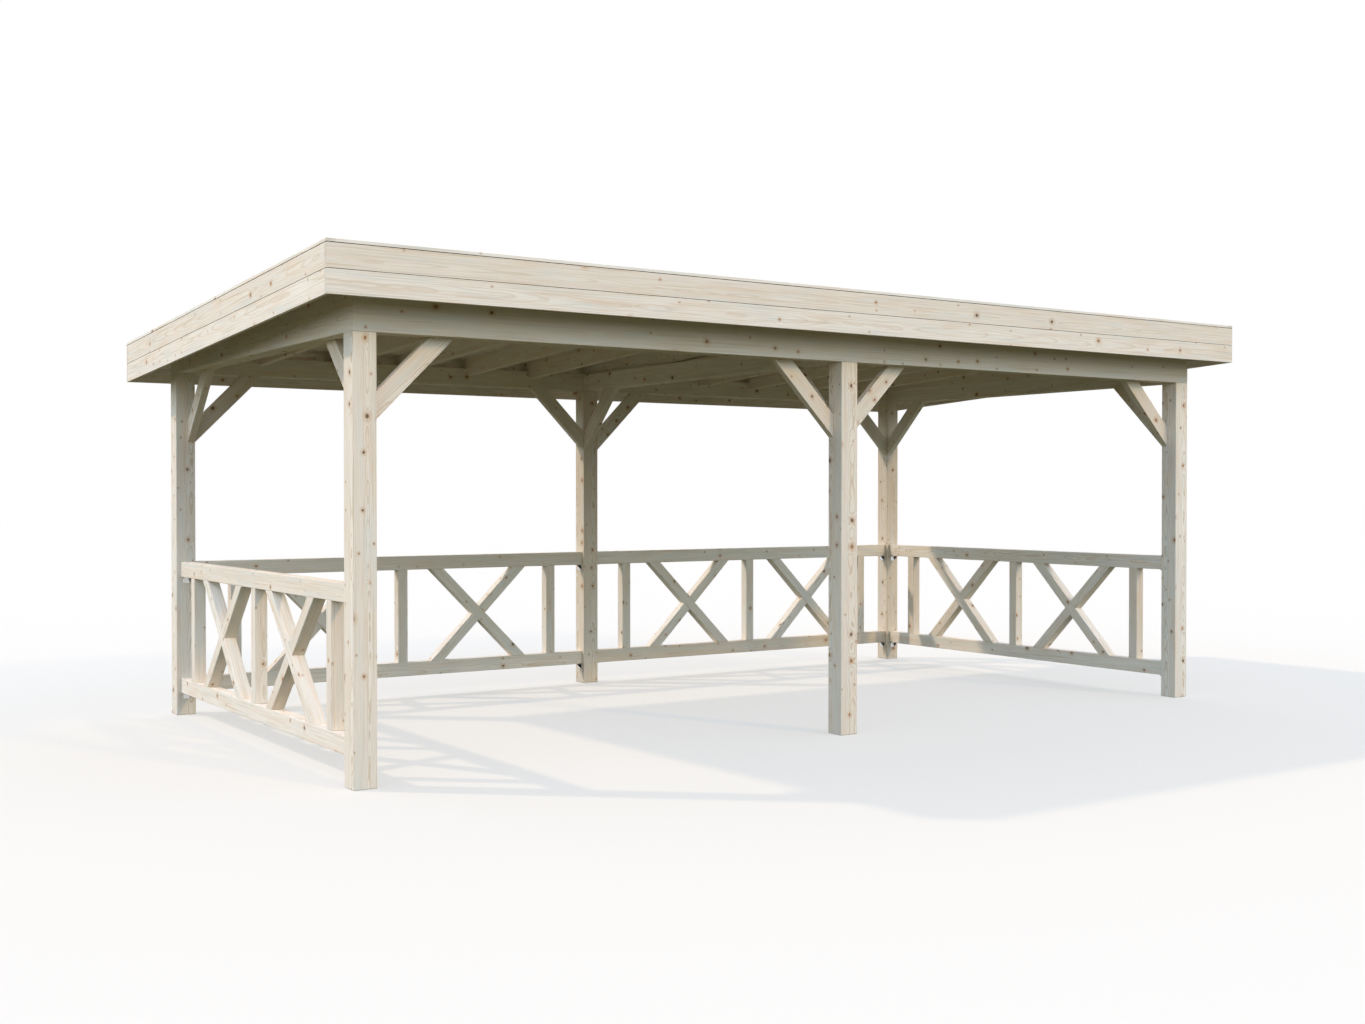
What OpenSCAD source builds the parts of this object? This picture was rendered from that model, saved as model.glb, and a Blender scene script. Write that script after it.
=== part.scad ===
// Open timber gazebo with a single-pitch roof, half-lapped cross railings on three sides and an open front.
// Origin on the floor under the middle of the roof: +X along the front, +Y to the back, +Z up, millimetres.

/* [Display] */
// Which piece to build

/* [Plan] */
// Length over the posts, side to side
frame_l = 6080; // [5400:10:7000]
// Depth over the posts, front to back
frame_d = 3100; // [2800:10:3600]
// Clear height under the beams
head_h = 2174; // [2000:1:2500]

/* [Frame timber] */
// Side of a square post
post_w = 120; // [100:1:160]
// Height of the level beams
beam_h = 120; // [100:1:180]
// Reach of a knee brace along the beam, to its outer edge
brace_reach = 438; // [300:5:600]
// Width of a knee brace
brace_w = 95; // [70:1:140]
// Thickness of a knee brace
brace_t = 45; // [30:1:70]
// Set-back of a knee brace from the inner face of its post
brace_back = 2; // [1:0.5:15]

/* [Roof] */
// Fall of the roof to the back, degrees
roof_pitch = 2.93; // [1.5:0.01:5]
// Roof overhang past the posts at the front and the sides
eave_out = 208; // [120:1:350]
// Roof overhang past the posts at the back
eave_back = 258; // [120:1:400]
// Rafters in each bay
rafter_count = 5; // [3:1:7]
// Rafter thickness
rafter_t = 45; // [35:1:70]
// Rafter depth
rafter_h = 120; // [90:1:170]
// Depth of the notch that seats a rafter on the back beam
rafter_seat = 50; // [30:1:70]
// Roof board thickness
deck_t = 19; // [16:0.5:28]
// Thickness of the roofing felt
felt_t = 3; // [2:0.5:6]
// Width of one fascia board
fascia_h = 116; // [90:1:160]
// Fascia board thickness
fascia_t = 19; // [16:0.5:28]
// Shadow gap between the fascia boards
fascia_gap = 2; // [1:0.5:5]
// Height of the roof edge lath
trim_h = 15; // [12:0.5:30]
// Width of the roof edge lath
trim_w = 45; // [30:1:70]

/* [Railings] */
// Thickness of the rails and balusters
rail_t = 70; // [45:1:100]
// Height of a rail
rail_h = 95; // [70:1:120]
// Top of the upper rail above the floor
rail_top = 975; // [800:1:1100]
// Underside of the lower rail above the floor
rail_clear = 142; // [80:1:200]
// Gap between a post and the baluster next to it
baluster_gap = 233; // [150:1:330]
// Width of a cross board
cross_w = 70; // [45:1:110]
// Thickness of a cross board
cross_t = 70; // [45:1:90]

/* [Hidden] */
// overlap that joins solids of one piece
lap = 0.5;
// roof plan, outside the fascia, centred on the origin
roof_x = frame_l / 2 + eave_out;
roof_y = (frame_d + eave_out + eave_back) / 2;
// outer faces of the front and back post rows, and the post centres
front_y = eave_out - roof_y;
back_y = roof_y - eave_back;
px = frame_l / 2 - post_w / 2;
row_front = front_y + post_w / 2;
row_back = back_y - post_w / 2;
row_mid = (front_y + back_y) / 2;
// inner faces of the posts
inner_x = frame_l / 2 - post_w;
inner_front = front_y + post_w;
inner_back = back_y - post_w;
// clear width of a back bay and of a side bay
bay_l = px - post_w;
bay_d = frame_d - 2 * post_w;
// distance of a knee brace's middle from the post's middle
brace_set = (post_w - brace_t) / 2 - brace_back;
// roof planes, with heights taken over the origin
fall = tan(roof_pitch);
beam_top = head_h + beam_h;
rafter_foot = beam_top - rafter_seat;
rafter_z = rafter_foot + fall * inner_back;
deck_z = rafter_z + rafter_h;
roof_z = deck_z + deck_t;
felt_top = roof_z + felt_t;
// fascia edges, with heights taken over the origin
fascia_mid = roof_z - fascia_h;
fascia_low = fascia_mid - fascia_gap;
fascia_foot = fascia_low - fascia_h;
rafter_pitch = px / (rafter_count + 1);
// space between the rails, which the crosses fill
cross_rise = rail_top - rail_clear - 2 * rail_h;
cross_mid = (rail_top + rail_clear) / 2;
wood = [0.87, 0.82, 0.72];
shade = [0.82, 0.77, 0.66];
felt = [0.25, 0.26, 0.27];

// solid between two sloping planes, for a plan rectangle
module sloped(x0, x1, y0, y1, low, high) {
    rotate([90, 0, 90])
        translate([0, 0, x0])
            linear_extrude(height = x1 - x0)
                polygon([[y0, low - fall * y0], [y1, low - fall * y1],
                         [y1, high - fall * y1], [y0, high - fall * y0]]);
}

// solid between a level plane and a sloping plane
module wedge(x0, x1, y0, y1, low, high) {
    rotate([90, 0, 90])
        translate([0, 0, x0])
            linear_extrude(height = x1 - x0)
                polygon([[y0, low], [y1, low], [y1, high - fall * y1], [y0, high - fall * y0]]);
}

module post(x, y) {
    color(wood)
        translate([x - post_w / 2, y - post_w / 2, 0])
            cube([post_w, post_w, head_h]);
}

module post_front_left() post(-px, row_front);
module post_front_middle() post(0, row_front);
module post_front_right() post(px, row_front);
module post_back_left() post(-px, row_back);
module post_back_middle() post(0, row_back);
module post_back_right() post(px, row_back);

// plan of a beam over the front or the back posts, mitred at both ends
function plan_along(outer, inner) = [[-frame_l / 2, outer], [frame_l / 2, outer],
                                     [inner_x, inner], [-inner_x, inner]];

// plan of a side beam, mitred at both ends
function plan_side(side) = [[side * frame_l / 2, front_y], [side * frame_l / 2, back_y],
                            [side * inner_x, inner_back], [side * inner_x, inner_front]];

// front beam, its top planed to the rafters
module beam_front() {
    color(wood)
        intersection() {
            wedge(-frame_l / 2, frame_l / 2, front_y, inner_front, head_h, rafter_z);
            linear_extrude(height = deck_z + rafter_h)
                polygon(plan_along(front_y, inner_front));
        }
}

// level beam of the height of the back and side beams, from its plan
module level_beam(plan) {
    color(wood)
        translate([0, 0, head_h])
            linear_extrude(height = beam_h)
                polygon(plan);
}

module beam_back() level_beam(plan_along(back_y, inner_back));
module beam_left() level_beam(plan_side(-1));
module beam_right() level_beam(plan_side(1));
module beam_middle() level_beam([[-post_w / 2, inner_front], [post_w / 2, inner_front],
                                 [post_w / 2, inner_back], [-post_w / 2, inner_back]]);

// knee brace in the corner under a beam, leaving a post face along +X
module brace() {
    span = brace_reach;
    inner = brace_reach - brace_w * sqrt(2);
    rotate([90, 0, 0])
        translate([0, 0, -brace_t / 2])
            linear_extrude(height = brace_t)
                polygon([[0, -span], [span, 0], [inner, 0], [0, -inner]]);
}

// a brace turned from a post to its beam, near the inner face of the post on the side given
module brace_at(x, y, turn, inward) {
    translate([x + inward[0] * brace_set, y + inward[1] * brace_set, head_h])
        rotate([0, 0, turn])
            translate([post_w / 2, 0, 0])
                brace();
}

// the two braces at a corner post; sx and sy point from the post into the gazebo
module corner_braces(x, y, sx, sy) {
    color(wood) {
        brace_at(x, y, sx > 0 ? 0 : 180, [0, sy]);
        brace_at(x, y, sy > 0 ? 90 : -90, [sx, 0]);
    }
}

// the three braces at a middle post
module middle_braces(y, sy) {
    color(wood) {
        brace_at(0, y, 0, [0, sy]);
        brace_at(0, y, 180, [0, sy]);
        brace_at(0, y, sy > 0 ? 90 : -90, [-1, 0]);
    }
}

module braces_front_left() corner_braces(-px, row_front, 1, 1);
module braces_front_middle() middle_braces(row_front, 1);
module braces_front_right() corner_braces(px, row_front, -1, 1);
module braces_back_left() corner_braces(-px, row_back, 1, -1);
module braces_back_middle() middle_braces(row_back, -1);
module braces_back_right() corner_braces(px, row_back, -1, -1);

// rafter with a notch over the back beam, from fascia to fascia
module rafter(x) {
    difference() {
        sloped(x - rafter_t / 2, x + rafter_t / 2, -roof_y + fascia_t, roof_y - fascia_t, rafter_z, deck_z);
        translate([x - rafter_t, inner_back, head_h])
            cube([2 * rafter_t, post_w, beam_h]);
    }
}

module rafters_left() {
    color(shade)
        for (i = [1:rafter_count])
            rafter(-i * rafter_pitch);
}

module rafters_right() {
    color(shade)
        for (i = [1:rafter_count])
            rafter(i * rafter_pitch);
}

// the middle rafter also sits down over the middle tie beam
module rafter_middle() {
    color(shade)
        difference() {
            rafter(0);
            translate([-rafter_t, inner_front - lap, head_h])
                cube([2 * rafter_t, bay_d + 2 * lap, beam_h]);
        }
}

// tapered filler between a side beam and the roof boards, mitred to the front beam, and with a
// tail as deep as a rafter behind the back beam
module gable(side) {
    low_x = side > 0 ? inner_x : -frame_l / 2;
    high_x = low_x + post_w;
    color(shade) {
        intersection() {
            wedge(low_x, high_x, front_y, back_y + lap, beam_top, deck_z);
            linear_extrude(height = deck_z + rafter_h)
                polygon([[side * frame_l / 2, front_y], [side * frame_l / 2, back_y + lap],
                         [side * inner_x, back_y + lap], [side * inner_x, inner_front]]);
        }
        sloped(low_x, high_x, front_y, inner_front, rafter_z, deck_z);
        sloped(low_x, high_x, back_y, roof_y - fascia_t, rafter_z, deck_z);
    }
}

module gable_left() gable(-1);
module gable_right() gable(1);

// boards over the whole roof, between the fascia boards
module roof_deck() {
    color(wood)
        sloped(-roof_x + fascia_t, roof_x - fascia_t, -roof_y + fascia_t, roof_y - fascia_t, deck_z, roof_z);
}

// felt over the boards and over the top edges of the fascia boards
module roof_felt() {
    color(felt)
        sloped(-roof_x, roof_x, -roof_y, roof_y, roof_z, felt_top);
}

// two boards over each other along the front or the back, over the ends of the side boards
module fascia_along(y0) {
    color(wood) {
        sloped(-roof_x, roof_x, y0, y0 + fascia_t, fascia_foot, fascia_low);
        sloped(-roof_x, roof_x, y0, y0 + fascia_t, fascia_mid, roof_z);
    }
}

// two boards over each other down a side of the roof, between the front and back boards
module fascia_side(x0) {
    color(wood) {
        sloped(x0, x0 + fascia_t, -roof_y + fascia_t, roof_y - fascia_t, fascia_foot, fascia_low);
        sloped(x0, x0 + fascia_t, -roof_y + fascia_t, roof_y - fascia_t, fascia_mid, roof_z);
    }
}

module fascia_front() fascia_along(-roof_y);
module fascia_back() fascia_along(roof_y - fascia_t);
module fascia_left() fascia_side(-roof_x);
module fascia_right() fascia_side(roof_x - fascia_t);

// laths lying on the edge of the felt, over the fascia boards
module trim(x0, x1, y0, y1) {
    color(wood)
        sloped(x0, x1, y0, y1, felt_top, felt_top + trim_h);
}

module trim_front() trim(-roof_x + trim_w, roof_x - trim_w, -roof_y, -roof_y + trim_w);
module trim_back() trim(-roof_x + trim_w, roof_x - trim_w, roof_y - trim_w, roof_y);
module trim_left() trim(-roof_x, -roof_x + trim_w, -roof_y, roof_y);
module trim_right() trim(roof_x - trim_w, roof_x, -roof_y, roof_y);

// two rails across a clear bay, centred on the origin, along X
module rail_pair(bay) {
    color(wood)
        for (z = [rail_clear, rail_top - rail_h])
            translate([-bay / 2, -rail_t / 2, z])
                cube([bay, rail_t, rail_h]);
}

// distance from the middle of a bay to its end balusters
function baluster_out(bay) = bay / 2 - baluster_gap - rail_t / 2;

// three balusters between the rails of a bay
module balusters(bay) {
    color(wood)
        for (x = [-baluster_out(bay), 0, baluster_out(bay)])
            translate([x - rail_t / 2, -rail_t / 2, rail_clear + rail_h])
                cube([rail_t, rail_t, cross_rise]);
}

// one board of a cross at 45 degrees, filling a part of the rail thickness from y0 to y1
module cross_board(lean, y0, y1) {
    half = cross_w / sqrt(2);
    run = lean * cross_rise / 2;
    translate([0, y1, cross_mid])
        rotate([90, 0, 0])
            linear_extrude(height = y1 - y0)
                polygon([[-run - half, -cross_rise / 2], [-run + half, -cross_rise / 2],
                         [run + half, cross_rise / 2], [run - half, cross_rise / 2]]);
}

// the boards of one lean in both crosses of a bay, halved where the other lean passes
module cross_boards(bay, lean) {
    color(wood)
        for (x = [-baluster_out(bay) / 2, baluster_out(bay) / 2])
            translate([x, 0, 0])
                difference() {
                    cross_board(lean, -cross_t / 2, cross_t / 2);
                    if (lean > 0)
                        cross_board(-lean, -cross_t, 0);
                    else
                        cross_board(-lean, 0, cross_t);
                }
}

// places a bay of railing along the left or the right side, or along the back
module on_side(x) {
    translate([x, row_mid, 0])
        rotate([0, 0, 90])
            children();
}

module on_back(x) {
    translate([x, row_back, 0])
        children();
}

module rails_left() on_side(-px) rail_pair(bay_d);
module balusters_left() on_side(-px) balusters(bay_d);
module cross_fore_left() on_side(-px) cross_boards(bay_d, -1);
module cross_rear_left() on_side(-px) cross_boards(bay_d, 1);
module rails_right() on_side(px) rail_pair(bay_d);
module balusters_right() on_side(px) balusters(bay_d);
module cross_fore_right() on_side(px) cross_boards(bay_d, -1);
module cross_rear_right() on_side(px) cross_boards(bay_d, 1);
module rails_back_left() on_back(-px / 2) rail_pair(bay_l);
module balusters_back_left() on_back(-px / 2) balusters(bay_l);
module cross_fore_back_left() on_back(-px / 2) cross_boards(bay_l, -1);
module cross_rear_back_left() on_back(-px / 2) cross_boards(bay_l, 1);
module rails_back_right() on_back(px / 2) rail_pair(bay_l);
module balusters_back_right() on_back(px / 2) balusters(bay_l);
module cross_fore_back_right() on_back(px / 2) cross_boards(bay_l, -1);
module cross_rear_back_right() on_back(px / 2) cross_boards(bay_l, 1);

post_front_left();
post_front_middle();
post_front_right();
post_back_left();
post_back_middle();
post_back_right();
beam_front();
beam_back();
beam_left();
beam_right();
beam_middle();
braces_front_left();
braces_front_middle();
braces_front_right();
braces_back_left();
braces_back_middle();
braces_back_right();
rafters_left();
rafters_right();
rafter_middle();
gable_left();
gable_right();
roof_deck();
roof_felt();
fascia_front();
fascia_left();
fascia_right();
fascia_back();
trim_front();
trim_back();
trim_left();
trim_right();
rails_left();
balusters_left();
cross_fore_left();
cross_rear_left();
rails_right();
balusters_right();
cross_fore_right();
cross_rear_right();
rails_back_left();
balusters_back_left();
cross_fore_back_left();
cross_rear_back_left();
rails_back_right();
balusters_back_right();
cross_fore_back_right();
cross_rear_back_right();
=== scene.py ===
import math
import random

import bmesh
import bpy
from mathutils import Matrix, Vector


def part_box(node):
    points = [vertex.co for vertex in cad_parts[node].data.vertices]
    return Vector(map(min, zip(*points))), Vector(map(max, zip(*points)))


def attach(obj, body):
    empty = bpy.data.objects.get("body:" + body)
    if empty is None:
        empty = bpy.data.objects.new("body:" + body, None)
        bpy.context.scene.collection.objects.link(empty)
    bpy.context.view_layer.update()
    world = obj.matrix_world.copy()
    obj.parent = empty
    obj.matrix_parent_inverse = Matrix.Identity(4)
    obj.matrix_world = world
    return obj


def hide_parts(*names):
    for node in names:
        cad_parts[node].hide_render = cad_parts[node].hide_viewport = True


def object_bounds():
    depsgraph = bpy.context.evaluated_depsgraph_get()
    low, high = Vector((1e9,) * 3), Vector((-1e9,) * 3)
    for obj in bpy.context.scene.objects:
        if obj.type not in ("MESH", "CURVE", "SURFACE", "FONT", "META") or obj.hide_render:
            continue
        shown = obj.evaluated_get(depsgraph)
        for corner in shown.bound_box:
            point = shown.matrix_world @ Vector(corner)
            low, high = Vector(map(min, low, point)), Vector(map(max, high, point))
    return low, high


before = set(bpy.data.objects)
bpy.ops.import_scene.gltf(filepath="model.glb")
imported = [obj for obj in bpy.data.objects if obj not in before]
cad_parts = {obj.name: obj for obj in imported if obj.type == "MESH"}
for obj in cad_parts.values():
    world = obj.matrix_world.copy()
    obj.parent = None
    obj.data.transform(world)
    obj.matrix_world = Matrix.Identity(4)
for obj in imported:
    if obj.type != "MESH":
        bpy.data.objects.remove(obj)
cad_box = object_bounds()


# ---------------------------------------------------------------- posts
# Six square posts of spruce, sawn near the heart of the log, planed on four sides and their
# arrises eased. They stand on the floor, cut square at the foot and the head, under the beams.

POST_ARRIS = 0.004
POST_HEART = (0.010, 0.055)
RING_WIDTH = 0.004
# a side of a timber has one knot at most in each stretch of this length and width
KNOT_CELL = (0.16, 0.08)
# points of a CAD mesh closer than this are one, and faces flatter to each other than this are whole
WELD = 0.00002
FLAT_ANGLE = 0.01


def loose_solids(node):
    """the separate timbers of a CAD node, each as its own bmesh with flat faces made whole"""
    whole = bmesh.new()
    whole.from_mesh(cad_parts[node].data)
    bmesh.ops.remove_doubles(whole, verts=whole.verts, dist=WELD)
    bmesh.ops.dissolve_limit(whole, angle_limit=FLAT_ANGLE, verts=whole.verts, edges=whole.edges)
    waiting = set(whole.verts)
    solids = []
    while waiting:
        reached = {waiting.pop()}
        rim = list(reached)
        while rim:
            for edge in rim.pop().link_edges:
                for vert in edge.verts:
                    if vert in waiting:
                        waiting.remove(vert)
                        reached.add(vert)
                        rim.append(vert)
        solid = bmesh.new()
        copies = {vert: solid.verts.new(vert.co) for vert in sorted(reached, key=lambda v: v.index)}
        for face in whole.faces:
            if face.verts[0] in reached:
                solid.faces.new([copies[vert] for vert in face.verts])
        solid.normal_update()
        solids.append(solid)
    whole.free()
    solids.sort(key=lambda s: tuple(round(c, 4) for c in middle_of(s)))
    return solids


def middle_of(solid):
    """the middle of a solid's box"""
    lows = [min(v.co[k] for v in solid.verts) for k in range(3)]
    highs = [max(v.co[k] for v in solid.verts) for k in range(3)]
    return Vector([(low + high) / 2 for low, high in zip(lows, highs)])


def length_direction(solid):
    """the direction of a timber's longest edge, which its grain follows"""
    solid.edges.ensure_lookup_table()
    longest = max(solid.edges, key=lambda edge: edge.calc_length())
    along = (longest.verts[1].co - longest.verts[0].co).normalized()
    return along if sum(along) > 0 else -along


def reach_along(solid, direction):
    """how far a solid reaches in a direction"""
    places = [vert.co.dot(direction) for vert in solid.verts]
    return max(places) - min(places)


def mark_grain(solid, heart, knotty, seed, tone=None):
    """gives each point its place in the log it was sawn from, in metres: along it, and from its heart
    in two directions, and how knotty and how pale the timber is; heart is the least and the most
    distance of the timber's middle from the heart; returns the grain and the flat side's normal"""
    dice = random.Random(seed)
    along = length_direction(solid)
    # the flat side is the one whose normal is across the least thickness
    sides = [f.normal for f in solid.faces if abs(f.normal.dot(along)) < 0.1]
    out = min(sides, key=lambda n: round(reach_along(solid, n), 5)).normalized()
    across = along.cross(out)
    middle = middle_of(solid)
    turned = dice.choice((-1, 1))
    start = Vector((dice.uniform(5, 400), turned * dice.uniform(*heart), dice.uniform(-0.03, 0.03)))
    paleness = dice.uniform(-1, 1) if tone is None else tone
    place = solid.verts.layers.float_vector.new("log_place")
    board_tone = solid.verts.layers.float.new("board_tone")
    share = solid.verts.layers.float.new("knotty")
    for vert in solid.verts:
        offset = vert.co - middle
        vert[place] = start + Vector((offset.dot(along), offset.dot(out), offset.dot(across)))
        vert[board_tone] = paleness
        vert[share] = knotty
    return along, out


def mark_faces(solid, along, out):
    """marks the faces that are cut across the grain, and numbers the four sides"""
    end = solid.faces.layers.float.new("end_grain")
    side = solid.faces.layers.float.new("side")
    across = along.cross(out)
    for face in solid.faces:
        face[end] = 1.0 if abs(face.normal.dot(along)) > 0.6 else 0.0
        flat = face.normal.dot(out)
        edge = face.normal.dot(across)
        if abs(flat) >= abs(edge):
            face[side] = 0.0 if flat > 0 else 1.0
        else:
            face[side] = 2.0 if edge > 0 else 3.0


def ease(solid, arris):
    """rounds all edges of a timber by a small radius"""
    bmesh.ops.bevel(solid, geom=list(solid.edges), offset=arris, segments=2, profile=0.5,
                    affect="EDGES", clamp_overlap=True)
    solid.normal_update()


def joined(name, solids, material, nodes):
    """one object of several solids, standing for the CAD nodes"""
    whole = bpy.data.meshes.new(name)
    gathered = bmesh.new()
    part = bpy.data.meshes.new(name + "_part")
    for solid in solids:
        solid.to_mesh(part)
        gathered.from_mesh(part)
        solid.free()
    gathered.to_mesh(whole)
    gathered.free()
    bpy.data.meshes.remove(part)
    whole.materials.append(material)
    piece = bpy.data.objects.new(name, whole)
    bpy.context.scene.collection.objects.link(piece)
    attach(piece, "root")
    if nodes:
        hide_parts(*nodes)
    return piece


def planed_timbers(node, arris, heart, knotty, material, tones=()):
    """the timbers of a CAD node with eased arrises and their own grain"""
    solids = loose_solids(node)
    for number, solid in enumerate(solids):
        tone = tones[number % len(tones)] if tones else None
        along, out = mark_grain(solid, heart, knotty, f"{node} {number}", tone)
        ease(solid, arris)
        mark_faces(solid, along, out)
    return joined(node + "_timber", solids, material, [node])


def linear(colour):
    """an sRGB hex colour as linear red, green, blue and alpha"""
    parts = [int(colour[k:k + 2], 16) / 255 for k in (1, 3, 5)]
    return [p / 12.92 if p <= 0.04045 else ((p + 0.055) / 1.055) ** 2.4 for p in parts] + [1.0]


def add(tree, kind, inputs=(), **settings):
    """adds a shader node with its settings, and sets or links its inputs; a node given for an input
    is linked from its first output"""
    made = tree.nodes.new("ShaderNode" + kind)
    for name, value in settings.items():
        setattr(made, name, value)
    for name, value in dict(inputs).items():
        if isinstance(value, bpy.types.Node):
            value = value.outputs[0]
        if isinstance(value, bpy.types.NodeSocket):
            tree.links.new(value, made.inputs[name])
        else:
            made.inputs[name].default_value = value
    return made


def empty_material(name):
    """a new material and its node tree, with no node in it"""
    material = bpy.data.materials.new(name)
    material.use_nodes = True
    material.node_tree.nodes.clear()
    return material, material.node_tree


def planed_spruce(name):
    """Fresh planed spruce: pale early wood, thin tan late wood in rings round the heart, and small
    brown knots that the rings flow round. Nothing seals it, so it is matt and fibrous."""
    material, tree = empty_material(name)
    place = add(tree, "Attribute", attribute_name="log_place").outputs["Vector"]
    tone = add(tree, "Attribute", attribute_name="board_tone").outputs["Fac"]
    knotty = add(tree, "Attribute", attribute_name="knotty").outputs["Fac"]
    side = add(tree, "Attribute", attribute_name="side").outputs["Fac"]
    sawn = add(tree, "Attribute", attribute_name="end_grain").outputs["Fac"]
    # the faces inside a fascia joint, which are painted dark as shade
    joint = add(tree, "Attribute", attribute_name="joint").outputs["Fac"]
    parts = add(tree, "SeparateXYZ", {0: place})

    # noise drawn out along the grain: a slow waver of the rings, fibres 1 mm across, streaks of 7
    # and lines of 5 mm, and soft patches as long as a forearm
    grain = {}
    for part, stretch, scale, detail in (("waver", 0.50, 9.0, 3.0), ("fibre", 0.02, 900.0, 2.0),
                                         ("streak", 0.03, 150.0, 3.0), ("line", 0.01, 210.0, 2.0),
                                         ("cloud", 0.12, 22.0, 3.0)):
        stretched = add(tree, "VectorMath", {0: place, 1: (stretch, 1.0, 1.0)}, operation="MULTIPLY")
        grain[part] = add(tree, "TexNoise", {"Vector": stretched, "Scale": scale, "Detail": detail})

    # the heart of a log wanders some 10 mm over a metre
    bend = add(tree, "TexNoise", {"W": parts, "Scale": 0.8, "Detail": 1.0}, noise_dimensions="1D")
    bend = add(tree, "VectorMath", {0: bend.outputs["Color"], 1: (0.5, 0.5, 0.5)}, operation="SUBTRACT")
    bent = add(tree, "VectorMath", {0: bend, 1: (0.0, 0.02, 0.02), 2: place}, operation="MULTIPLY_ADD")
    section = add(tree, "VectorMath", {0: bent, 1: (0.0, 1.0, 1.0)}, operation="MULTIPLY")
    radius = add(tree, "VectorMath", {0: section}, operation="LENGTH").outputs["Value"]

    # a knot for some of the cells on each side of a timber, and none on its ends
    flat = add(tree, "Math", {0: side, 1: 1.5}, operation="LESS_THAN")
    wide = add(tree, "Mix", {0: flat, 2: parts.outputs[1], 3: parts.outputs[2]})
    spot = add(tree, "CombineXYZ", {0: parts, 1: wide})
    shift = add(tree, "VectorMath", {0: (7.31, 3.70, 0.0), "Scale": side}, operation="SCALE")
    cell = add(tree, "VectorMath", {0: spot, 1: (1 / KNOT_CELL[0], 1 / KNOT_CELL[1], 0.0), 2: shift},
               operation="MULTIPLY_ADD")
    branch = add(tree, "TexVoronoi", {"Vector": cell, "Scale": 1.0}, voronoi_dimensions="2D")
    chance = add(tree, "SeparateXYZ", {0: branch.outputs["Color"]})
    away = add(tree, "VectorMath", {0: cell, 1: branch.outputs["Position"]}, operation="SUBTRACT")
    # cut a little aslant, a knot is 1/0.85 times as long as it is wide, and its edge is ragged
    away = add(tree, "VectorMath", {0: away, 1: (KNOT_CELL[0] * 0.85, KNOT_CELL[1], 0.0)},
               operation="MULTIPLY")
    distance = add(tree, "VectorMath", {0: away}, operation="LENGTH").outputs["Value"]
    ragged = add(tree, "TexNoise", {"Vector": place, "Scale": 130.0, "Detail": 3.0})
    ragged = add(tree, "MapRange", {0: ragged, 3: -0.003, 4: 0.003})
    distance = add(tree, "Math", {0: distance, 1: ragged}, operation="ADD")
    distance = add(tree, "Math", {0: distance, 1: 0.0}, operation="MAXIMUM")
    # most knots are 8 to 12 mm across, a few up to 22 mm
    large = add(tree, "Math", {0: chance.outputs[1], 1: 2.5}, operation="POWER")
    size = add(tree, "MapRange", {0: large, 3: 0.0034, 4: 0.0110})
    share = add(tree, "Math", {0: knotty, 1: sawn}, operation="SUBTRACT")
    cut = add(tree, "Math", {0: chance, 1: share}, operation="LESS_THAN")
    size = add(tree, "Math", {0: size, 1: cut}, operation="MULTIPLY")
    size = add(tree, "Math", {0: size, 1: 0.00005}, operation="MAXIMUM")
    knots = add(tree, "Math", {0: distance, 1: size}, operation="DIVIDE")
    in_knot = add(tree, "MapRange", {0: knots, 1: 0.55, 2: 1.35, 3: 1.0, 4: 0.0},
                  interpolation_type="SMOOTHSTEP")

    # annual rings that waver and taper along the log and bulge round each knot
    waver = add(tree, "Math", {0: grain["waver"], 1: 0.5}, operation="SUBTRACT")
    sway = add(tree, "Math", {0: knotty, 1: 0.030}, operation="MULTIPLY")
    bulge = add(tree, "MapRange", {0: knots, 2: 6.0, 3: 0.006, 4: 0.0},
                interpolation_type="SMOOTHERSTEP")
    ring = add(tree, "Math", {0: waver, 1: sway, 2: radius}, operation="MULTIPLY_ADD")
    ring = add(tree, "Math", {0: parts, 1: 0.006, 2: ring}, operation="MULTIPLY_ADD")
    ring = add(tree, "Math", {0: ring, 1: bulge}, operation="ADD")
    ring = add(tree, "Math", {0: ring, 1: RING_WIDTH}, operation="DIVIDE")
    ring = add(tree, "Math", {0: ring}, operation="FRACT")
    late = add(tree, "ValToRGB", {0: ring})
    late.color_ramp.elements[0].position = 0.64
    late.color_ramp.elements[0].color = (0, 0, 0, 1)
    late.color_ramp.elements[1].position = 0.92
    late.color_ramp.elements[1].color = (1, 1, 1, 1)
    late.color_ramp.elements.new(1.0).color = (0.05, 0.05, 0.05, 1)
    # knotty timber has the bolder rings
    boldness = add(tree, "MapRange", {0: knotty, 3: 0.10, 4: 1.05})
    rings = add(tree, "Math", {0: late, 1: boldness}, operation="MULTIPLY")

    # over the pale wood lie its rings, fine lines, warm and cool patches, and the knots
    lines = add(tree, "MapRange", {0: grain["line"], 1: 0.54, 2: 0.68, 4: 0.55})
    patch = add(tree, "SeparateXYZ", {0: grain["cloud"].outputs["Color"]})
    warm = add(tree, "MapRange", {0: patch.outputs[0], 1: 0.50, 2: 0.72, 4: 0.42})
    cool = add(tree, "MapRange", {0: patch.outputs[1], 1: 0.50, 2: 0.75, 4: 0.45})
    halo = add(tree, "MapRange", {0: knots, 1: 1.0, 2: 3.6, 3: 0.42, 4: 0.0},
               interpolation_type="SMOOTHSTEP")
    paleness = add(tree, "MapRange", {0: tone, 1: -1.0, 2: 1.0})
    wood = add(tree, "Mix", {0: paleness, 6: linear("#E3D8CA"), 7: linear("#EEE8DF")},
               data_type="RGBA")
    for layer, colour in ((rings, "#C1A580"), (lines, "#CDB99C"), (warm, "#DDC2A6"),
                          (cool, "#D3D8D4"), (halo, "#C49A70")):
        wood = add(tree, "Mix", {0: layer, 6: wood.outputs[2], 7: linear(colour)}, data_type="RGBA")
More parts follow.
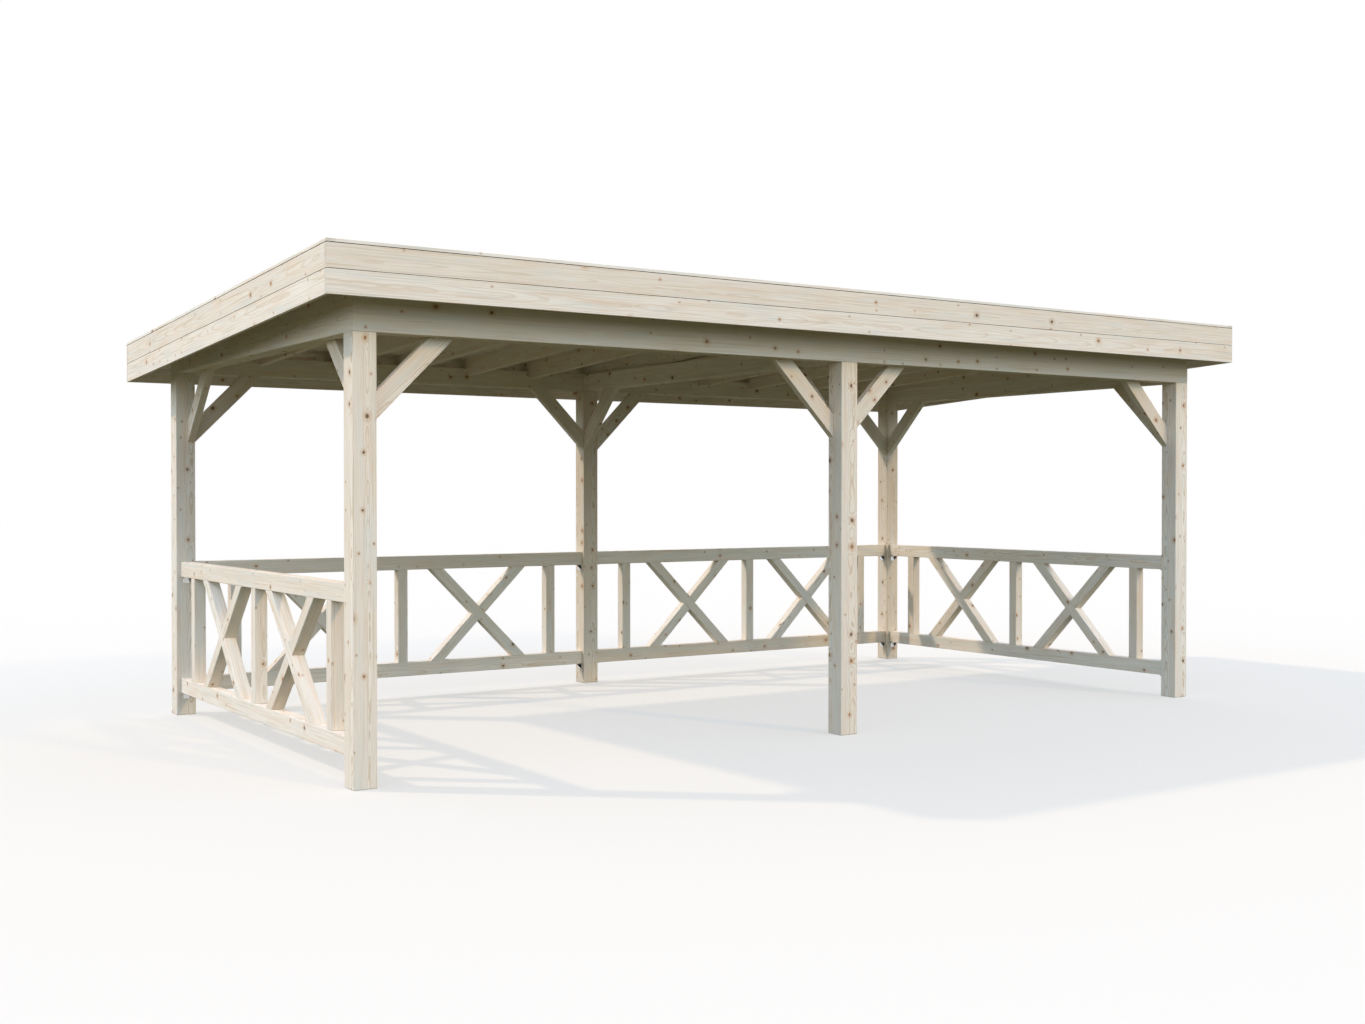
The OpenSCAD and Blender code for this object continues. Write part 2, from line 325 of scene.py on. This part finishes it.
    # a branch that was alive leaves a soft brown knot, a dead one a small and dark one
    dead = add(tree, "Math", {0: chance.outputs[2], 1: 0.62}, operation="GREATER_THAN")
    knot = add(tree, "Mix", {0: dead, 6: linear("#966C48"), 7: linear("#5A4533")}, data_type="RGBA")
    depth = add(tree, "MapRange", {0: chance.outputs[1], 2: 0.6, 3: 0.34, 4: 0.86})
    depth = add(tree, "Math", {0: depth, 1: in_knot}, operation="MULTIPLY")
    wood = add(tree, "Mix", {0: depth, 6: wood.outputs[2], 7: knot.outputs[2]}, data_type="RGBA")

    # a plane leaves the fibres lighter and darker by turns, end grain drinks the light, and the faces
    # inside a joint between two boards get painted shade, nearly black
    light = add(tree, "MapRange", {0: grain["streak"], 1: 0.25, 2: 0.75, 3: 0.945, 4: 1.045})
    sheen = add(tree, "MapRange", {0: grain["fibre"], 1: 0.3, 2: 0.7, 3: 0.975, 4: 1.02})
    ends = add(tree, "MapRange", {0: sawn, 3: 1.0, 4: 0.86})
    # painted shade: the faces inside a fascia joint are drawn at 6 per cent of the wood's colour
    joint_shade = add(tree, "MapRange", {0: joint, 3: 1.0, 4: 0.06})
    for layer in (sheen, ends, joint_shade):
        light = add(tree, "Math", {0: light, 1: layer}, operation="MULTIPLY")
    wood = add(tree, "VectorMath", {0: wood.outputs[2], "Scale": light}, operation="SCALE")

    # the soft early wood lies a little below the late wood, and a knot stands proud
    height = add(tree, "Math", {0: rings, 1: 0.8, 2: in_knot}, operation="MULTIPLY_ADD")
    height = add(tree, "Math", {0: grain["fibre"], 1: 0.5, 2: height}, operation="MULTIPLY_ADD")
    relief = add(tree, "Bump", {"Strength": 0.25, "Distance": 0.0006, "Height": height})
    finish = add(tree, "BsdfPrincipled", {"Base Color": wood, "Roughness": 0.75, "IOR": 1.5,
                                          "Specular IOR Level": 0.0, "Normal": relief})
    add(tree, "OutputMaterial", {0: finish})
    return material


spruce = planed_spruce("planed_spruce")
for row in ("front", "back"):
    for place in ("left", "middle", "right"):
        planed_timbers(f"post_{row}_{place}", POST_ARRIS, POST_HEART, 0.62, spruce)


# ---------------------------------------------------------------- beams
# Level beams of planed spruce: one the whole length over the front posts, deep and planed to the
# rafters on top, one over the back posts, and three between them, screwed down to the posts.

BEAM_ARRIS = 0.003

for place in ("front", "back", "left", "right", "middle"):
    planed_timbers(f"beam_{place}", BEAM_ARRIS, (0.015, 0.07), 0.38, spruce)


# ---------------------------------------------------------------- knee braces
# Short boards of spruce cut at 45 degrees at both ends, standing in the corners between the posts
# and the beams and screwed to both, so that the frame can't rack.

BRACE_ARRIS = 0.0025

for row in ("front", "back"):
    for place in ("left", "middle", "right"):
        planed_timbers(f"braces_{row}_{place}", BRACE_ARRIS, (0.03, 0.09), 0.45, spruce)


# ---------------------------------------------------------------- rafters
# Planed rafters on edge that fall to the back, notched over the back beam and nailed to the
# beams, with a filler on each side beam where the roof boards end.

RAFTER_ARRIS = 0.0025

for node in ("rafters_left", "rafters_right", "rafter_middle", "gable_left", "gable_right"):
    planed_timbers(node, RAFTER_ARRIS, (0.02, 0.08), 0.45, spruce)


# ---------------------------------------------------------------- roof boards
# Tongued spruce boards laid along the roof on the rafters, their lower edges chamfered so that
# each joint shows from below as a small V. They are butted by turns on the three middle rafters.

BOARD_COVER = 0.096
BOARD_CHAMFER = 0.0035
BOARD_JOINT = 0.0012
BOARD_BUTT = 0.001
RAFTER_PITCH = 0.4967


def roof_slope():
    """the fall of the roof, from the upper corners of the roof boards' solid"""
    verts = [v.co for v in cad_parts["roof_deck"].data.vertices]
    low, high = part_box("roof_deck")
    top_back = max(v.z for v in verts if v.y > high.y - 0.001)
    return (high.z - top_back) / (high.y - low.y)


def lower_front_edge(node):
    """the height of the lower front edge of a sloping sheet's solid"""
    low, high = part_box(node)
    verts = [v.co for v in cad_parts[node].data.vertices]
    return max(v.z for v in verts if v.y < low.y + 0.001 and v.z < high.z - 0.001)


def prism(first, second):
    """a solid between two outlines of points that match one to one"""
    solid = bmesh.new()
    ends = [[solid.verts.new(point) for point in outline] for outline in (first, second)]
    count = len(first)
    for k in range(count):
        after = (k + 1) % count
        solid.faces.new((ends[0][k], ends[0][after], ends[1][after], ends[1][k]))
    solid.faces.new(list(reversed(ends[0])))
    solid.faces.new(ends[1])
    bmesh.ops.recalc_face_normals(solid, faces=solid.faces)
    return solid


def roof_board(x0, x1, y0, y1, top, thickness):
    """a board along the roof with chamfered lower edges; top is the height over y = 0"""
    section = [(y0, 0.0), (y1, 0.0), (y1, BOARD_CHAMFER - thickness),
               (y1 - BOARD_CHAMFER, -thickness), (y0 + BOARD_CHAMFER, -thickness),
               (y0, BOARD_CHAMFER - thickness)]
    return prism(*[[(x, y, top - slope * y + drop) for y, drop in section] for x in (x0, x1)])


slope = roof_slope()
deck_low, deck_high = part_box("roof_deck")
deck_top = deck_high.z + slope * deck_low.y
deck_thickness = deck_high.z - lower_front_edge("roof_deck")
boards = []
rows = math.ceil((deck_high.y - deck_low.y) / BOARD_COVER)
for row in range(rows):
    y0 = deck_low.y + row * BOARD_COVER + BOARD_JOINT / 2
    y1 = min(deck_low.y + (row + 1) * BOARD_COVER - BOARD_JOINT / 2, deck_high.y)
    joint = 0.0 if row % 2 else RAFTER_PITCH * (1 if row % 4 else -1)
    for x0, x1 in ((deck_low.x, joint - BOARD_BUTT / 2), (joint + BOARD_BUTT / 2, deck_high.x)):
        board = roof_board(x0, x1, y0, y1, deck_top, deck_thickness)
        mark_faces(board, *mark_grain(board, (0.03, 0.10), 0.45, f"roof board {row} {x0:.3f}"))
        boards.append(board)
joined("roof_boards", boards, spruce, ["roof_deck"])


# ---------------------------------------------------------------- roofing felt
# Strips of mineral felt laid along the roof from the back up, each lapped over the one below it
# and held by the edge laths. It is bitumen with crushed slate pressed into its face, 3 mm thick.

FELT_WIDTH = 1.0
FELT_LAP = 0.10
FELT_SHEET = 0.0016


def mineral_felt(name):
    """Mineral felt: slate grit of 1 mm in black bitumen, drawn at 2 mm so that it shows, paler
    where more grit has stuck. A cut edge shows the bitumen alone."""
    material, tree = empty_material(name)
    spot = add(tree, "TexCoord")
    grit = add(tree, "TexVoronoi", {"Vector": spot.outputs["Object"], "Scale": 500.0})
    patch = add(tree, "TexNoise", {"Vector": spot.outputs["Object"], "Scale": 1.6, "Detail": 6.0})
    grey = add(tree, "ValToRGB", {0: grit.outputs["Color"]})
    grey.color_ramp.elements[0].color = linear("#383735")
    grey.color_ramp.elements[1].color = linear("#7D7A75")
    worn = add(tree, "Mix", {0: patch.outputs[0], 6: grey.outputs[0], 7: linear("#504E4B")},
               data_type="RGBA")
    facing = add(tree, "SeparateXYZ", {0: add(tree, "NewGeometry").outputs["Normal"]})
    face = add(tree, "Math", {0: facing.outputs[2], 1: 0.5}, operation="GREATER_THAN")
    colour = add(tree, "Mix", {0: face.outputs[0], 6: linear("#33271D"), 7: worn.outputs[2]},
                 data_type="RGBA")
    relief = add(tree, "Bump", {"Strength": 0.5, "Distance": 0.001, "Height": grit.outputs[0]})
    finish = add(tree, "BsdfPrincipled", {"Base Color": colour.outputs[2], "Roughness": 0.9,
                                          "Specular IOR Level": 0.2, "Normal": relief.outputs[0]})
    add(tree, "OutputMaterial", {0: finish.outputs[0]})
    return material


felt_low, felt_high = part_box("roof_felt")
felt_top = felt_high.z + slope * felt_low.y
felt_under = lower_front_edge("roof_felt") + slope * felt_low.y
strips = []
lower = felt_high.y
while lower > felt_low.y + FELT_LAP:
    upper = max(lower - FELT_WIDTH, felt_low.y)
    # the lower edge lies on the strip below it, and the sheet is drawn down to its upper edge
    section = [(upper, felt_top - FELT_SHEET if upper > felt_low.y else felt_top), (lower, felt_top),
               (lower, felt_top - FELT_SHEET if lower < felt_high.y else felt_under),
               (lower - FELT_LAP, felt_under), (upper, felt_under)]
    strips.append(prism(*[[(x, y, z - slope * y) for y, z in section]
                          for x in (felt_low.x, felt_high.x)]))
    lower -= FELT_WIDTH - FELT_LAP
joined("roof_felt_strips", strips, mineral_felt("mineral_felt"), ["roof_felt"])


# ---------------------------------------------------------------- fascia and edge laths
# Two spruce boards over each other round the roof's edge, nailed to the rafter ends, with a lath
# on top that holds down the felt. The faces inside the joint between the boards are painted dark as
# shade, so that the joint shows as a thin dark line.

FASCIA_ARRIS = 0.0008
FASCIA_JOINT = 0.020


def paint_joint_shade(boards):
    """marks the faces inside the joint of two boards over each other, where shade falls, so that the
    wood there is painted dark as shade
    """
    mesh = boards.data
    heights = sorted(v.co.z + slope * v.co.y for v in mesh.vertices)
    middle = (heights[0] + heights[-1]) / 2
    joint = mesh.attributes.new("joint", "FLOAT", "FACE")
    for face in mesh.polygons:
        height = face.center.z + slope * face.center.y
        inside = abs(face.normal.z) > 0.9 and abs(height - middle) < FASCIA_JOINT
        joint.data[face.index].value = 1.0 if inside else 0.0


for side in ("front", "left", "right", "back"):
    boards = planed_timbers(f"fascia_{side}", FASCIA_ARRIS, (0.04, 0.12), 0.24, spruce,
                            (0.2, -0.45))
    paint_joint_shade(boards)
    planed_timbers(f"trim_{side}", FASCIA_ARRIS, (0.04, 0.12), 0.15, spruce, (1.0,))


# ---------------------------------------------------------------- railings
# Two rails between the posts in each closed bay, three balusters between the rails, and in each
# half a cross of two boards at 45 degrees, halved into each other and screwed to the rails.

RAIL_ARRIS = 0.003

for bay in ("left", "right", "back_left", "back_right"):
    planed_timbers(f"rails_{bay}", RAIL_ARRIS, (0.02, 0.07), 0.40, spruce)
    planed_timbers(f"balusters_{bay}", RAIL_ARRIS, (0.02, 0.07), 0.40, spruce)
    planed_timbers(f"cross_fore_{bay}", RAIL_ARRIS, (0.02, 0.07), 0.40, spruce)
    planed_timbers(f"cross_rear_{bay}", RAIL_ARRIS, (0.02, 0.07), 0.40, spruce)


# ---------------------------------------------------------------- rail brackets
# Small angles of galvanised steel under each end of each rail, one leg screwed up into the rail
# and the other into the post. They are pressed from 2.5 mm sheet.

ANGLE_LEG = 0.040
ANGLE_WIDTH = 0.042
ANGLE_SHEET = 0.0025
ANGLE_BEND = 0.004
# the screws stand at this share of a leg's length from the corner
ANGLE_SCREWS = 0.62
SCREW_HEAD = 0.0040
SCREW_HEIGHT = 0.0020
SCREW_SUNK = 0.0002


def galvanised_steel(name):
    """Bright zinc on rolled steel: silvery, in crystals of some 6 mm that differ a little in tone
    and shine."""
    material, tree = empty_material(name)
    spot = add(tree, "TexCoord")
    crystal = add(tree, "TexVoronoi", {"Vector": spot.outputs["Object"], "Scale": 170.0})
    tone = add(tree, "SeparateXYZ", {0: crystal.outputs["Color"]})
    grey = add(tree, "ValToRGB", {0: tone.outputs[0]})
    grey.color_ramp.elements[0].color = linear("#C9CCCD")
    grey.color_ramp.elements[1].color = linear("#E2E4E4")
    dull = add(tree, "MapRange", {0: tone.outputs[1], 3: 0.34, 4: 0.48})
    finish = add(tree, "BsdfPrincipled", {"Base Color": grey.outputs[0], "Metallic": 1.0,
                                          "Roughness": dull.outputs[0]})
    add(tree, "OutputMaterial", {0: finish.outputs[0]})
    return material


def rail_angle(corner, outward):
    """an angle under a rail's end; corner is where the rail's underside meets the post's face,
    and outward runs from the post along the rail"""
    side = Vector((-outward.y, outward.x, 0.0))
    turns = [math.radians(90 * k / 4) for k in range(5)]
    bend = [(ANGLE_SHEET + ANGLE_BEND * (1 - math.sin(t)), ANGLE_SHEET + ANGLE_BEND * (1 - math.cos(t)))
            for t in turns]
    outline = [(0.0, 0.0), (ANGLE_LEG, 0.0), (ANGLE_LEG, ANGLE_SHEET)]
    outline += [(a, b) for a, b in reversed(bend)]
    outline += [(ANGLE_SHEET, ANGLE_LEG), (0.0, ANGLE_LEG)]
    solid = prism(*[[corner + outward * a + side * across - Vector((0, 0, b)) for a, b in outline]
                    for across in (-ANGLE_WIDTH / 2, ANGLE_WIDTH / 2)])
    # two screws in each leg, side by side
    reach = ANGLE_LEG * ANGLE_SCREWS
    for across in (-ANGLE_WIDTH / 4, ANGLE_WIDTH / 4):
        for spot, facing in ((outward * reach - Vector((0, 0, ANGLE_SHEET)), Vector((0, 0, -1))),
                             (outward * ANGLE_SHEET - Vector((0, 0, reach)), outward)):
            head = Vector((0, 0, 1)).rotation_difference(facing).to_matrix().to_4x4()
            proud = SCREW_HEIGHT / 2 - SCREW_SUNK
            head.translation = corner + spot + side * across + facing * proud
            bmesh.ops.create_cone(solid, cap_ends=True, segments=16, radius1=SCREW_HEAD,
                                  radius2=SCREW_HEAD * 0.55, depth=SCREW_HEIGHT, matrix=head)
    bmesh.ops.recalc_face_normals(solid, faces=solid.faces)
    return solid


zinc = galvanised_steel("galvanised_steel")
for bay in ("left", "right", "back_left", "back_right"):
    low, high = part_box(f"rails_{bay}")
    middle = (low + high) / 2
    runs_back = high.y - low.y > high.x - low.x
    feet = sorted({round(min(v.co.z for v in solid.verts), 5) for solid in loose_solids(f"rails_{bay}")})
    angles = []
    for foot in feet:
        for end in (low, high):
            if runs_back:
                corner = Vector((middle.x, end.y, foot))
                outward = Vector((0, 1 if end is low else -1, 0))
            else:
                corner = Vector((end.x, middle.y, foot))
                outward = Vector((1 if end is low else -1, 0, 0))
            angles.append(rail_angle(corner, outward))
    joined(f"rail_angles_{bay}", angles, zinc, [])


# ---------------------------------------------------------------- floor, light and camera
# A plain pale floor, white to the eye, that keeps the object's shadow and gives back the light
# of a mown lawn; low sun from the left, soft light from the front, and a pale sky.

FLOOR_REACH = 300.0
FLOOR_GAP = 0.0005

floor_mesh = bpy.data.meshes.new("floor")
corners = [(x * FLOOR_REACH, y * FLOOR_REACH, 0) for x, y in ((-1, -1), (1, -1), (1, 1), (-1, 1))]
floor_mesh.from_pydata(corners, [], [(0, 1, 2, 3)])
floor = bpy.data.objects.new("floor", floor_mesh)
bpy.context.scene.collection.objects.link(floor)
floor.location.z = cad_box[0][2] - FLOOR_GAP


def pale_floor(name, seen, given_back):
    """a matt floor that looks pale and gives back a softer light to what stands on it"""
    material, tree = empty_material(name)
    path = add(tree, "LightPath")
    eye = add(tree, "Math", {0: path.outputs["Is Camera Ray"], 1: path.outputs["Is Glossy Ray"]},
              operation="MAXIMUM")
    pale = add(tree, "BsdfDiffuse", {"Color": linear(seen)})
    glow = add(tree, "Emission", {"Color": linear("#FFFFFF"), "Strength": 1.0})
    shown = add(tree, "MixShader", {0: 0.5, 1: pale.outputs[0], 2: glow.outputs[0]})
    ground = add(tree, "BsdfDiffuse", {"Color": linear(given_back)})
    both = add(tree, "MixShader", {0: eye.outputs[0], 1: ground.outputs[0], 2: shown.outputs[0]})
    add(tree, "OutputMaterial", {0: both.outputs[0]})
    return material


floor_mesh.materials.append(pale_floor("pale_floor", "#D2CEC6", "#56563E"))

world = bpy.data.worlds.new("pale_sky")
bpy.context.scene.world = world
world.use_nodes = True
world.node_tree.nodes.clear()
sky_tree = world.node_tree
ray = add(sky_tree, "LightPath")
direct = add(sky_tree, "Math", {0: ray.outputs["Is Camera Ray"], 1: ray.outputs["Is Glossy Ray"]},
             operation="MAXIMUM")
direct = add(sky_tree, "Math", {0: direct.outputs[0], 1: ray.outputs["Is Transmission Ray"]},
             operation="MAXIMUM")
# the light comes mostly from between a sixth and half of the way up, and hardly from overhead
direction = add(sky_tree, "SeparateXYZ", {0: add(sky_tree, "TexCoord").outputs["Generated"]})
up = add(sky_tree, "Math", {0: direction.outputs[2]}, operation="ABSOLUTE")
bands = add(sky_tree, "ValToRGB", {0: up.outputs[0]})
bands.color_ramp.elements[0].color = linear("#939093")
bands.color_ramp.elements[1].color = linear("#3A3A34")
bands.color_ramp.elements.new(0.25).color = linear("#D9E6E3")
bands.color_ramp.elements.new(0.60).color = linear("#CBDDFF")
sky_light = add(sky_tree, "Background", {"Color": bands.outputs[0], "Strength": 2.4})
sky_seen = add(sky_tree, "Background", {"Color": linear("#FFFFFF"), "Strength": 1.0})
sky_both = add(sky_tree, "MixShader", {0: direct.outputs[0], 1: sky_light.outputs[0],
                                       2: sky_seen.outputs[0]})
add(sky_tree, "OutputWorld", {0: sky_both.outputs[0]})


def sun(name, towards, strength, colour, width):
    """a distant lamp; towards is the direction of the lamp, width its size in degrees"""
    lamp = bpy.data.lights.new(name, "SUN")
    lamp.energy = strength
    lamp.color = linear(colour)[:3]
    lamp.angle = math.radians(width)
    holder = bpy.data.objects.new(name, lamp)
    bpy.context.scene.collection.objects.link(holder)
    holder.rotation_euler = Vector(towards).to_track_quat("Z", "Y").to_euler()
    return holder


sun("left_lamp", (-1.0, 0.86, 1.14), 1.98, "#FFE8CC", 2.0)
sun("front_lamp", (0.40, -1.0, 0.68), 0.91, "#FFD695", 4.0)

# the eye stands 1.4 m over the floor, some 10 m from the object's middle, and looks all but level
camera = bpy.data.cameras.new("camera")
camera.sensor_width = 36.0
camera.lens = 40.16
viewer = bpy.data.objects.new("camera", camera)
bpy.context.scene.collection.objects.link(viewer)
viewer.location = (-5.7421, -8.4086, 1.4018)
viewer.rotation_euler = (math.pi / 2 - 0.0114, 0.0, -0.5896)
bpy.context.scene.camera = viewer
bpy.context.scene.view_settings.view_transform = "Standard"
